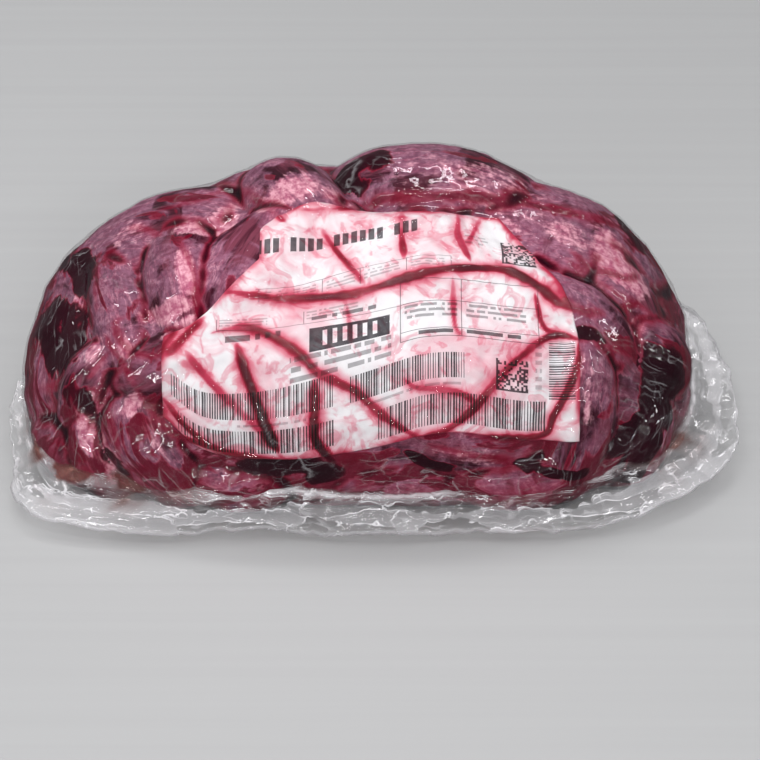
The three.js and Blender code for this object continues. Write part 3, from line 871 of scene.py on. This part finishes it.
def clear_film(name, haze, gloss, size, strength, rough, lines, stretch):
    """Clear film: see-through, with a gloss that follows Fresnel and a little milky haze. Where it is slack
    it has crushed facets as bump, drawn out along the piece's layout, and thin white lines where they meet,
    which are painted highlights standing for glints along the film's creases; lines says how strong they are.
    The edge field that each piece gives whitens the film further, in part as painted highlight. Dried blood
    stains it brown."""
    f = Finish(name)
    u, v = f.layout()
    slack = f.field("slack")
    stain = f.field("stain").clamp()
    soft = f.noise(f.place(), size * 1.6, detail=2.0, rough=0.4, twist=0.6)
    where = f.vector(u / stretch + soft * size * 0.8, v + soft * size * 0.6, 0.0)
    large = f.cells(where, size, "DISTANCE_TO_EDGE")
    small = f.cells(where, size * SMALL_CELL, "DISTANCE_TO_EDGE")
    facet = f.cells(where, size, "F1", 1)
    fresnel = f.number(f.node("ShaderNodeFresnel", {"IOR": FILM_INDEX}))
    shine = fresnel.least(FILM_CAP) * gloss * f.field("gloss")
    # Painted highlights: thin white lines where the facets meet, standing for glints along the creases.
    painted_glint_lines = (1 - large * 26).clamp() + (1 - small * 16).clamp() * 0.4
    # The white mixed over the see-through film: its own haze and dried blood, with painted highlights from
    # the edge field and the lines.
    milk_and_painted_highlights = haze * facet.step(0.35, 0.8) * slack + f.field("edge")
    milk_and_painted_highlights = milk_and_painted_highlights + painted_glint_lines * soft.step(0.42, 0.58) * slack * lines + stain * (0.1 + 0.5 * soft)
    body = f.node("ShaderNodeBsdfPrincipled", {
        "Base Color": f.mix((stain * 3).clamp(), FILM, DRIED_BLOOD),
        "Metallic": (shine / (shine + milk_and_painted_highlights + 0.002)).clamp(),
        "Roughness": rough,
        "Normal": f.bump((large * 0.75 + small * 0.25) * slack + soft * 0.45, strength, size * 0.22),
    })
    clear = f.node("ShaderNodeBsdfTransparent")
    sockets = {0: (shine + milk_and_painted_highlights).clamp(), 1: clear.outputs[0], 2: body.outputs[0]}
    return f.close(f.node("ShaderNodeMixShader", sockets).outputs[0])


def fibre_layout(base, domes, quads):
    """(u, v) in millimetres for each corner of the quads: along and across the fold that is highest at the
    quad. Each fold has its own part of the layout."""
    owner = np.sort(domes.argmax(0)[quads], axis=1)[:, 1]
    bent = (base + wander(base))[quads]
    frames = [placed(bearing, rise, turn) for bearing, rise, _, _, turn, _ in FOLDS.values()]
    centre, along, across = [np.stack([frame[i] for frame in frames])[owner][:, None] for i in range(3)]
    u = ((bent - centre) * along).sum(-1) + 61 * owner[:, None]
    v = ((bent - centre) * across).sum(-1) + 37 * owner[:, None]
    return np.stack([u, v], -1).reshape(-1, 2)


def over_label(point):
    """1 where the film lies on the label, 0 away from it, by x and by the arc round the loaf."""
    arc = np.degrees(np.arctan2(point[:, 2] - MIDDLE[2], -point[:, 1]))
    sides = eased(-66, -58, point[:, 0]) * eased(76, 68, point[:, 0])
    return sides * eased(12, 20, arc) * eased(86, 76, arc)


def make_meat_and_film():
    """The folded beef and, over it, the film drawn tight on it, both on the same grid of directions."""
    direction, quads, ring = dome()
    base = loaf_point(direction)
    normal = loaf_normal(base)
    domes = fold_domes(base)
    height = blended(domes, FILM_BRIDGE)
    gap = height - blended(domes, MEAT_BRIDGE)
    bare = base + normal * (height + facets(base))[:, None]
    ridge, blood = crease_fields(bare)
    tall = bare[:, 2]
    foot = eased(24, 7, tall)
    faces = quads.tolist() + [ring.tolist()]
    layout = np.concatenate([fibre_layout(base, domes, quads), np.zeros((len(ring), 2))])

    pools = patch_field(bare + 1.6 * wander(bare * 2.5), POOLS, 0.6)
    fat = patch_field(bare + 1.2 * wander(bare * 2.2), FAT, 0.45)
    patchy = np.clip(0.5 + 1.1 * ripple(bare, 21, 27), 0, 1.6)
    in_valleys = 1.6 * patchy * (gap / 0.95) ** 2.3
    at_foot = foot * (0.4 + 0.5 * ripple(bare, 22, 41))
    depth = np.maximum(np.maximum(blood, in_valleys), np.maximum(at_foot, 0))
    fields = {"blood": depth, "fat": fat, "low": eased(62, 14, tall), "pool": pools}
    beef = bare + normal * (sinew(bare) - gap * 0.8 - MEAT_UNDER)[:, None]
    beef[:, 2] = np.maximum(beef[:, 2], 0.5)
    add_piece("folded_beef", beef, faces, beef_finish(), "sealed_bag", fields, layout)

    label = over_label(bare)
    raised = eased(0.3, 1.0, ridge)
    wrinkle = 0.3 * pleats(bare, 34, 51) * (0.4 + foot) + 0.16 * crumple(bare, 16, 61) * (0.5 + 1.5 * foot)
    lift = sinew(bare) + ridge + np.maximum(wrinkle, 0) * (1 - 0.85 * label)
    film = bare + normal * lift[:, None]
    film[:, 2] = np.maximum(film[:, 2], 0)
    slack = np.clip(0.3 + 0.8 * eased(40, 12, tall) + 0.3 * (depth > 0.4) + pools, 0, 1)
    states = {
        # Edge: a painted highlight, a pale streak along the tops of the tallest creases.
        "edge": 0.12 * eased(1.7, 2.1, ridge),
        "slack": slack * (1 - label) + 0.5 * label * raised,
        "stain": 0 * depth,
        "gloss": 1 - 0.95 * label * (1 - raised),
    }
    finish = clear_film("drawn film", haze=0.005, gloss=1.15, size=6.0, strength=0.9, rough=0.05, lines=0.14,
                        stretch=3.4)
    add_piece("film_over_meat", film, faces, finish, "sealed_bag", states, layout)


# The label's grid, and how far its two faces lie under the film's bare surface.
LABEL_ACROSS = 262
LABEL_UP = 180
LABEL_FACE = -0.12
LABEL_BACK = -0.32

# The print is level right of this x. Left of it, at these shares of the height, it sinks by these parts of
# the height for each millimetre.
PRINT_LEVEL_FROM = 20.0
PRINT_SHARES = [0, 0.25, 0.45, 0.62, 1]
PRINT_SINK = [0.0006, 0.0016, 0.0010, 0.0025, 0.0026]


def tucked(tuck, share):
    """How much of a tuck is done at a share of the label's height: none below it, all of it above."""
    start, over, power = tuck
    return np.clip((share - start) / over, 0, 1) ** power


def label_x(across, share):
    """x over the label: its left edge runs in from a third of the way up and again near the top, its right
    edge curves in over the top."""
    left = LABEL_LEFT + (LABEL_TOP_LEFT - LABEL_LEFT) * tucked(LABEL_TUCK_LEFT, share)
    left = left + LABEL_TIP_CUT * tucked(LABEL_TIP, share)
    right = LABEL_RIGHT + (LABEL_TOP_RIGHT - LABEL_RIGHT) * tucked(LABEL_TUCK_RIGHT, share)
    return left + (right - left) * across


def label_place(x, share):
    """The film's bare point over the label: its direction is corrected until the point has that x. The low
    edge waves as the paper's does."""
    low = LABEL_LOW_ARC
    for high, middle, wide in LABEL_WAVES:
        low = low + high * np.exp(-(((x - middle) / wide) ** 2))
    arc = np.radians(low + (LABEL_HIGH_ARC - low) * share)
    out = FRONT_DEPTH + FILM_BRIDGE
    aim = x.copy()
    for _ in range(4):
        direction = unit(np.stack([aim, -out * np.cos(arc), out * np.sin(arc)], -1))
        point = film_place(direction)
        aim += x - point[..., 0]
    base = loaf_point(direction)
    return point.reshape(-1, 3), base.reshape(-1, 3)


def make_label():
    """The label: a thin closed sheet on its own grid, just under the film. Its print sinks to the left."""
    across = np.linspace(0, 1, LABEL_ACROSS + 1)[None]
    up = np.linspace(0, 1, LABEL_UP + 1)[:, None]
    x = label_x(across, up)
    share = up + 0 * x
    point, base = label_place(x, share)
    normal = loaf_normal(base)
    flat = point + normal * facets(base)[:, None]
    ridge, blood = crease_fields(flat)
    edge_x = np.minimum(x - x[:, :1], x[:, -1:] - x)
    edge_v = np.minimum(share, 1 - share) * LABEL_TALL
    edge = np.minimum(edge_x, edge_v).ravel() * (1 + 0.3 * ripple(flat, 9, 71))
    stained = np.clip(0.5 + 1.1 * ripple(flat, 24, 73), 0, 1.5)
    depth = blood + 0.16 * stained * np.exp(-((edge / 1.6) ** 2))
    lift = sinew(flat) + 0.35 * ridge
    face = flat + normal * (lift + LABEL_FACE)[:, None]
    back = flat + normal * (lift + LABEL_BACK)[:, None]
    rows, columns = x.shape
    index = np.arange(rows * columns).reshape(rows, columns)
    front = np.stack([index[:-1, :-1], index[:-1, 1:], index[1:, 1:], index[1:, :-1]], -1).reshape(-1, 4)
    rear = front[:, ::-1] + rows * columns
    outline = np.concatenate([index[0, :-1], index[:-1, -1], index[-1, :0:-1], index[:0:-1, 0]])
    after = np.roll(outline, -1)
    side = np.stack([outline, outline + rows * columns, after + rows * columns, after], -1)
    quads = np.concatenate([front, rear, side])
    sink = np.interp(share, PRINT_SHARES, PRINT_SINK)
    v = (share + sink * np.maximum(PRINT_LEVEL_FROM - x, 0)) * LABEL_TALL
    layout = np.tile(np.stack([x, v], -1).reshape(-1, 2), (2, 1))[quads.ravel()]
    add_piece("paper_label", np.concatenate([face, back]), quads.tolist(), label_finish(), "label",
              {"blood": np.tile(depth, 2)}, layout)


def rim_reach(bearing):
    """How far the rim reaches in plan: a superellipse, squarer at the left front corner."""
    b = np.radians(bearing)
    right = np.sin(b) > 0
    ahead = np.cos(b)
    square = np.where(ahead > 0, np.where(right, RIM_SQUARE_RIGHT, RIM_SQUARE_LEFT), RIM_SQUARE_BACK)
    deep = np.abs(ahead) / np.where(ahead > 0, RIM_FRONT, RIM_BACK)
    wide = np.abs(np.sin(b)) / np.where(right, RIM_RIGHT, RIM_LEFT)
    return (wide ** square + deep ** square) ** (-1 / square)


def rim_sheet(bearing, share):
    """The rim's middle sheet, from its root inside the meat: level at first, then down to its free lip."""
    b = np.radians(bearing)
    root = loaf_point(heading(bearing, 0.0))
    inner = np.hypot(root[..., 0], root[..., 1]) - RIM_ROOT
    reach = rim_reach(bearing) + share * np.sin(9 * b + 2)
    out = inner + (reach - inner) * share
    top = RIM_TOP + RIM_TOP_SWING * np.cos(b)
    lip = RIM_LIP + RIM_LIP_EARS * np.sin(b) ** 4 + 0.8 * np.sin(13 * b + 0.8)
    z = top + (lip - top) * np.maximum(share, 0) ** (3 + np.cos(b))
    return np.stack([np.sin(b) * out, -np.cos(b) * out, z], -1)


def make_rim():
    """The sealed rim, a closed flat tube of film right round: two sheets a little apart, crumpled together
    the more the further they are from the meat, in folds along the rim. It is white at its lip and on its
    fold crests, partly the film's own milkiness and partly painted highlight, and a painted highlight runs
    along where it leaves the meat. Dried blood stains its left front corner, and a little its right."""
    bearing = np.linspace(-180, 180, RIM_STEPS + 1)[:-1, None]
    there = np.linspace(0, 1, RIM_ACROSS + 1)
    share = np.concatenate([there, there[-2:0:-1]])[None]
    side = np.concatenate([[0.0], np.ones(RIM_ACROSS - 1), [0.0], -np.ones(RIM_ACROSS - 1)])[None]
    slope = unit(rim_sheet(bearing, share + 0.01) - rim_sheet(bearing, share - 0.01))
    b = np.radians(bearing)
    tangent = np.stack([np.cos(b), np.sin(b), 0 * b], -1) + 0 * slope
    up = unit(np.cross(tangent, slope))
    up *= np.sign(up[..., 2:] + 1e-9)

    arc = RIM_RADIUS * b + 0 * share
    out = RIM_WIDTH * share + 0 * b
    flat = np.stack([arc, out, 0 * arc], -1)
    drawn = flat / [RIM_DRAWN, 1, 1]
    loose = eased(0.05, 0.7, share)
    ear = np.sin(b) ** 4
    shake = 1.9 * crumple(drawn, 13, RIM_SEED) + 0.6 * crumple(drawn, 5, RIM_SEED + 1)
    shake = shake + 0.25 * crumple(flat, 9, RIM_SEED + 2, 3)
    shake = shake + 1.8 * ear * crumple(flat * [1, 0.3, 1], 17, RIM_SEED + 7, 4)
    apart = 0.4 + 0.6 * np.abs(crumple(drawn, 9, RIM_SEED + 3))
    point = rim_sheet(bearing, share) + up * (loose * shake + side * RIM_APART * apart)[..., None]
    point += slope * (loose * crumple(flat, 23, RIM_SEED + 4))[..., None]
    point[..., 2] = np.maximum(point[..., 2], 0.25 + 0.25 * side)

    index = np.arange(arc.size).reshape(arc.shape)
    after = np.roll(index, -1, 1)
    quads = np.stack([index, after, np.roll(after, -1, 0), np.roll(index, -1, 0)], -1)
    further = np.roll(out, -1, 1)
    next_arc = arc + 2 * np.pi * RIM_RADIUS / RIM_STEPS
    corners = [(arc, out), (arc, further), (next_arc, further), (next_arc, out)]
    layout = np.stack([np.stack(corner, -1) for corner in corners], 2)

    around = point - MIDDLE
    outside = np.linalg.norm(around, axis=-1) - np.linalg.norm(film_place(unit(around)) - MIDDLE, axis=-1)
    # The edge field: white at the lip and on the fold crests, partly the film's own whitening and partly
    # painted highlight, and a painted highlight along the fold where the rim leaves the meat.
    crest = np.abs(crumple(drawn, 7, RIM_SEED + 5))
    edge = 0.3 * eased(0.97, 1.0, share) + 0.08 * crest ** 4 * loose
    edge = edge + 0.35 * np.exp(-(((outside - 0.9) / 0.7) ** 2))
    corner = np.exp(-(((bearing + 58) / 17) ** 2)) + 0.5 * np.exp(-(((bearing - 62) / 9) ** 2))
    stain = corner * eased(1.0, 0.6, share) * np.clip(0.25 + 0.7 * ripple(flat, 21, RIM_SEED + 6), 0, 1)
    whole = np.ones(edge.size)
    states = {"edge": edge.ravel(), "slack": whole, "stain": stain.ravel(), "gloss": whole}
    finish = clear_film("sealed rim", haze=0.14, gloss=0.6, size=3.4, strength=0.5, rough=0.06, lines=0.5,
                        stretch=9.0)
    faces = quads.reshape(-1, 4).tolist()
    add_piece("sealed_rim", point.reshape(-1, 3), faces, finish, "sealed_bag", states,
              layout.reshape(-1, 2))


# Lights: place, width and length in metres, watts, and whether the film mirrors them. The large soft ones
# aren't mirrored, and the thin strips are, as the long glints along creases and wrinkles.
LIGHTS = [
    ((-0.3, 0.3, 1.0), 0.7, 0.7, 7.5, False), ((0.0, 0.1, 1.6), 2.0, 2.0, 7.0, False),
    ((0.0, -1.0, 0.6), 0.9, 0.9, 4.2, False), ((-0.25, -1.0, 0.3), 0.6, 0.04, 2.6, True),
    ((0.3, -0.8, 0.62), 0.6, 0.04, 2.0, True), ((-0.1, -0.4, 1.05), 0.6, 0.04, 2.0, True),
    ((0.1, 0.45, 1.0), 0.6, 0.08, 2.2, True), ((-0.7, -0.2, 0.7), 0.05, 0.6, 1.7, True),
    ((0.75, -0.1, 0.65), 0.05, 0.6, 1.7, True),
]
SKY = (0.93, 0.96, 1.0, 1.0)
SKY_STRENGTH = 0.1
FLOOR_HALF = 6.0

# The camera, in millimetres and degrees.
CAMERA_TARGET = (1.13, 5.81, 3.5)
CAMERA_FAR = 850.0
CAMERA_ELEVATION = 38.0
CAMERA_LENS = 110.3
CAMERA_SENSOR = 36.0


def make_floor():
    """A plain pale floor with a faint grain. It isn't mirrored in the film."""
    f = Finish("floor")
    grain = f.noise(f.place((400.0, 6.0, 6.0)), detail=2.0)
    body = f.node("ShaderNodeBsdfPrincipled", {"Base Color": f.mix(grain, *FLOOR), "Roughness": 0.6})
    mesh = bpy.data.meshes.new("floor")
    corners = [(x * FLOOR_HALF, y * FLOOR_HALF, 0) for x, y in [(-1, -1), (1, -1), (1, 1), (-1, 1)]]
    mesh.from_pydata(corners, [], [(0, 1, 2, 3)])
    mesh.materials.append(f.close(body.outputs[0]))
    floor = place_in_scene("floor", mesh)
    floor.visible_glossy = False


def make_lights():
    """A dim even sky and the soft lights, each turned to the origin."""
    world = bpy.data.worlds.new("soft studio")
    world.use_nodes = True
    world.node_tree.nodes["Background"].inputs["Color"].default_value = SKY
    world.node_tree.nodes["Background"].inputs["Strength"].default_value = SKY_STRENGTH
    bpy.context.scene.world = world
    for place, wide, long, power, mirrored in LIGHTS:
        lamp = bpy.data.lights.new("softbox", "AREA")
        lamp.shape = "RECTANGLE"
        lamp.size = wide
        lamp.size_y = long
        lamp.energy = power
        light = place_in_scene("softbox", lamp)
        light.location = place
        light.visible_glossy = mirrored
        light.rotation_euler = (-Vector(place)).to_track_quat("-Z", "Y").to_euler()


def make_camera():
    """The camera at the front, looking down at the pack."""
    elevation = math.radians(CAMERA_ELEVATION)
    back = Vector((0, -math.cos(elevation), math.sin(elevation)))
    camera = place_in_scene("camera", bpy.data.cameras.new("camera"))
    camera.data.lens = CAMERA_LENS
    camera.data.sensor_width = CAMERA_SENSOR
    camera.data.clip_start = 0.01
    camera.location = (Vector(CAMERA_TARGET) + back * CAMERA_FAR) * MM
    camera.rotation_euler = (-back).to_track_quat("-Z", "Y").to_euler()
    bpy.context.scene.camera = camera
    bpy.context.scene.view_settings.view_transform = "Standard"


make_floor()
make_lights()
make_camera()
make_meat_and_film()
make_label()
make_rim()
